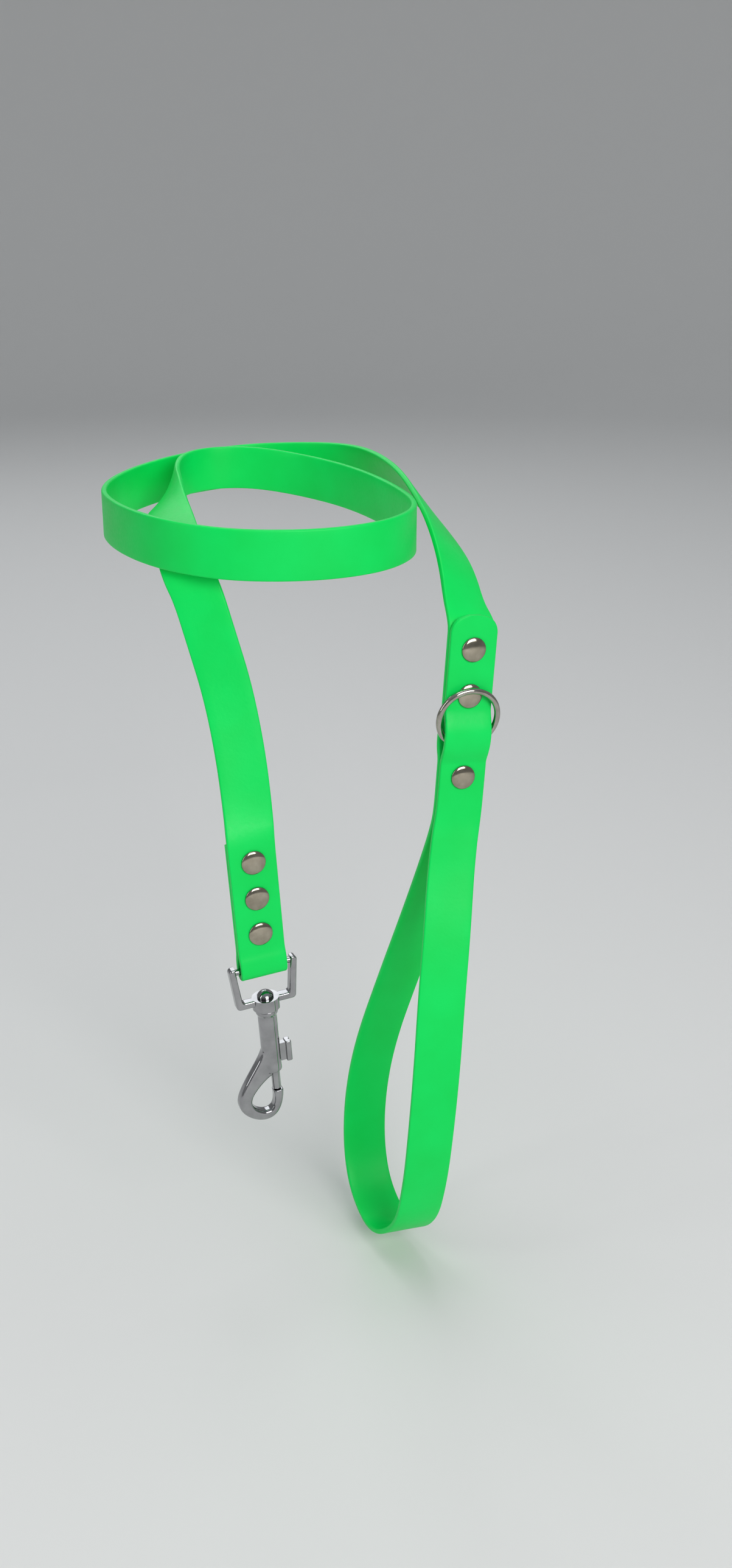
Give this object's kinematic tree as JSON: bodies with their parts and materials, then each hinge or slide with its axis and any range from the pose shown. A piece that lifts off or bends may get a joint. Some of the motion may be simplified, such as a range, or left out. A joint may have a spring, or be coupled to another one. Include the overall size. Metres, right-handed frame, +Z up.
{
  "type": "lead rope",
  "caption": "Flat coated strap lead with a riveted swivel bolt snap, a riveted hand loop and a loose ring, hung over a post with a turn of strap on top.",
  "frame": {"origin": "the top of the post that the lead hangs on, in the middle of the loose turn of strap", "axes": "+Z up; -Y is the side where both ends hang down; +X is to the right as seen from there, on the hand loop's side"},
  "size_m": [0.1613, 0.1989, 0.3178],
  "materials": {
    "strap": "satin, smooth coated webbing",
    "rivet": "polished nickel",
    "ring": "polished nickel",
    "snap": "bright chrome plate",
    "spring": "plain spring wire"
  },
  "bodies": {
    "lead": {"strap": "strap", "snap_rivet_1_cap": "rivet", "snap_rivet_1_post": "rivet", "snap_rivet_2_cap": "rivet", "snap_rivet_2_post": "rivet", "snap_rivet_3_cap": "rivet", "snap_rivet_3_post": "rivet", "hand_rivet_1_cap": "rivet", "hand_rivet_1_post": "rivet", "hand_rivet_2_cap": "rivet", "hand_rivet_2_post": "rivet", "hand_rivet_3_cap": "rivet", "hand_rivet_3_post": "rivet"},
    "ring": {"o_ring": "ring"},
    "eye": {"snap_eye": "snap"},
    "hook": {"snap_body": "snap", "swivel_pin": "snap", "snap_spring": "spring"},
    "bolt": {"snap_bolt": "snap", "thumb_knob": "snap"}
  },
  "joints": [
    {"name": "ring_flip", "type": "hinge", "parent": "lead", "child": "ring", "pos_m": [0.07946, -0.07653, -0.06253], "axis": [0.9492, 0.3084, -0.0628], "range_deg": [0, 15]},
    {"name": "eye_pivot", "type": "hinge", "parent": "lead", "child": "eye", "pos_m": [0, -0.097, -0.152], "axis": [0.9249, 0.3737, 0.0698], "range_deg": [-90, 90]},
    {"name": "snap_swivel", "type": "hinge", "parent": "eye", "child": "hook", "pos_m": [0.00129, -0.09648, -0.17195], "axis": [-0.0647, -0.0261, 0.9976], "continuous": true},
    {"name": "bolt_slide", "type": "slide", "parent": "hook", "child": "bolt", "axis": [-0.0647, -0.0261, 0.9976], "range_m": [0, 0.0085], "stiffness_N_per_m": 500, "springref_m": -0.004, "deforming": ["snap_spring"]}
  ]
}
